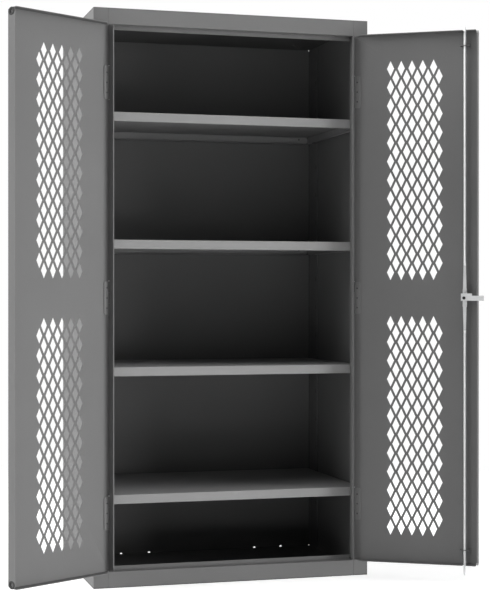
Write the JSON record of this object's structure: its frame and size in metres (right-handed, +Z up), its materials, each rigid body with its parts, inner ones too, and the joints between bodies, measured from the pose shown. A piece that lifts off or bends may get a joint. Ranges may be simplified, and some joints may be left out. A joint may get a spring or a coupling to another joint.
{
  "type": "ventilated cabinet",
  "caption": "Tall free-standing sheet-steel cabinet with a pair of diamond-perforated swing doors, slotted strips for clip-on shelves, and a lever latch with sliding rods.",
  "frame": {"origin": "middle of the case's footprint, on the floor", "axes": "+Z up, +Y from the doors to the back, +X to the right as seen from the front"},
  "size_m": [1.5085, 0.8671, 1.8288],
  "materials": {
    "case_coat": "satin grey powder coat",
    "door_coat": "satin grey powder coat",
    "shelf_coat": "satin grey powder coat",
    "hinge_coat": "satin grey powder coat",
    "clip_coat": "satin dark grey coat",
    "pin_zinc": "bright zinc plate",
    "latch_zinc": "bright zinc plate",
    "screw_black": "black oxide",
    "handle_chrome": "satin chrome plate"
  },
  "bodies": {
    "case": {"bottom_panel": "case_coat", "top_panel": "case_coat", "back_panel": "case_coat", "left_side_panel": "case_coat", "right_side_panel": "case_coat", "left_front_post": "case_coat", "right_front_post": "case_coat", "header_rail": "case_coat", "sill_rail": "case_coat", "shelf_1": "shelf_coat", "shelf_2": "shelf_coat", "shelf_3": "shelf_coat", "shelf_4": "shelf_coat", "shelf_1_clip_left_front": "clip_coat", "shelf_1_clip_left_back": "clip_coat", "shelf_1_clip_right_front": "clip_coat", "shelf_1_clip_right_back": "clip_coat", "shelf_2_clip_left_front": "clip_coat", "shelf_2_clip_left_back": "clip_coat", "shelf_2_clip_right_front": "clip_coat", "shelf_2_clip_right_back": "clip_coat", "shelf_3_clip_left_front": "clip_coat", "shelf_3_clip_left_back": "clip_coat", "shelf_3_clip_right_front": "clip_coat", "shelf_3_clip_right_back": "clip_coat", "shelf_4_clip_left_front": "clip_coat", "shelf_4_clip_left_back": "clip_coat", "shelf_4_clip_right_front": "clip_coat", "shelf_4_clip_right_back": "clip_coat", "left_upper_hinge_frame_leaf": "hinge_coat", "left_middle_hinge_frame_leaf": "hinge_coat", "left_lower_hinge_frame_leaf": "hinge_coat", "right_upper_hinge_frame_leaf": "hinge_coat", "right_middle_hinge_frame_leaf": "hinge_coat", "right_lower_hinge_frame_leaf": "hinge_coat", "left_upper_hinge_pin": "pin_zinc", "left_middle_hinge_pin": "pin_zinc", "left_lower_hinge_pin": "pin_zinc", "right_upper_hinge_pin": "pin_zinc", "right_middle_hinge_pin": "pin_zinc", "right_lower_hinge_pin": "pin_zinc"},
    "left_door": {"left_door": "door_coat", "left_upper_hinge_door_leaf": "hinge_coat", "left_middle_hinge_door_leaf": "hinge_coat", "left_lower_hinge_door_leaf": "hinge_coat"},
    "right_door": {"right_door": "door_coat", "right_upper_hinge_door_leaf": "hinge_coat", "right_middle_hinge_door_leaf": "hinge_coat", "right_lower_hinge_door_leaf": "hinge_coat", "handle_escutcheon": "handle_chrome", "upper_rod_guide": "door_coat", "lower_rod_guide": "door_coat"},
    "handle": {"door_handle": "handle_chrome", "latch_cam": "latch_zinc", "latch_cam_screw": "screw_black"},
    "lock_cylinder": {"lock_cylinder": "handle_chrome"},
    "upper_rod": {"upper_latch_rod": "latch_zinc"},
    "lower_rod": {"lower_latch_rod": "latch_zinc"},
    "upper_link": {"upper_latch_link": "latch_zinc"},
    "lower_link": {"lower_latch_link": "latch_zinc"}
  },
  "joints": [
    {"name": "left_door_swing", "type": "hinge", "parent": "case", "child": "left_door", "pos_m": [-0.4084, -0.3062, 0.9144], "axis": [0, 0, -1], "range_deg": [-149, 31]},
    {"name": "right_door_swing", "type": "hinge", "parent": "case", "child": "right_door", "pos_m": [0.4084, -0.3062, 0.9144], "axis": [0, 0, 1], "range_deg": [-148.7, 31.3]},
    {"name": "handle_turn", "type": "hinge", "parent": "right_door", "child": "handle", "pos_m": [0.72186, -0.49842, 0.9144], "axis": [-0.5195, -0.8545, 0], "range_deg": [0, 90]},
    {"name": "key_turn", "type": "hinge", "parent": "handle", "child": "lock_cylinder", "pos_m": [0.72186, -0.49842, 0.9144], "axis": [-0.5195, -0.8545, 0], "range_deg": [0, 90]},
    {"name": "upper_rod_slide", "type": "slide", "parent": "right_door", "child": "upper_rod", "axis": [0, 0, -1], "range_m": [0, 0.0307]},
    {"name": "lower_rod_slide", "type": "slide", "parent": "right_door", "child": "lower_rod", "axis": [0, 0, 1], "range_m": [0, 0.0307]},
    {"name": "upper_link_pivot", "type": "hinge", "parent": "handle", "child": "upper_link", "pos_m": [0.72186, -0.49842, 0.9404], "axis": [-0.5195, -0.8545, 0], "range_deg": [-110.5, 0]},
    {"name": "lower_link_pivot", "type": "hinge", "parent": "handle", "child": "lower_link", "pos_m": [0.72186, -0.49842, 0.8884], "axis": [-0.5195, -0.8545, 0], "range_deg": [-110.5, 0]}
  ],
  "couplings": [
    {"joint": "upper_rod_slide", "follows": "handle_turn", "m_per_rad": 0.019513},
    {"joint": "lower_rod_slide", "follows": "handle_turn", "m_per_rad": 0.019513},
    {"joint": "upper_link_pivot", "follows": "handle_turn", "ratio": -1.2254},
    {"joint": "lower_link_pivot", "follows": "handle_turn", "ratio": -1.2254}
  ]
}
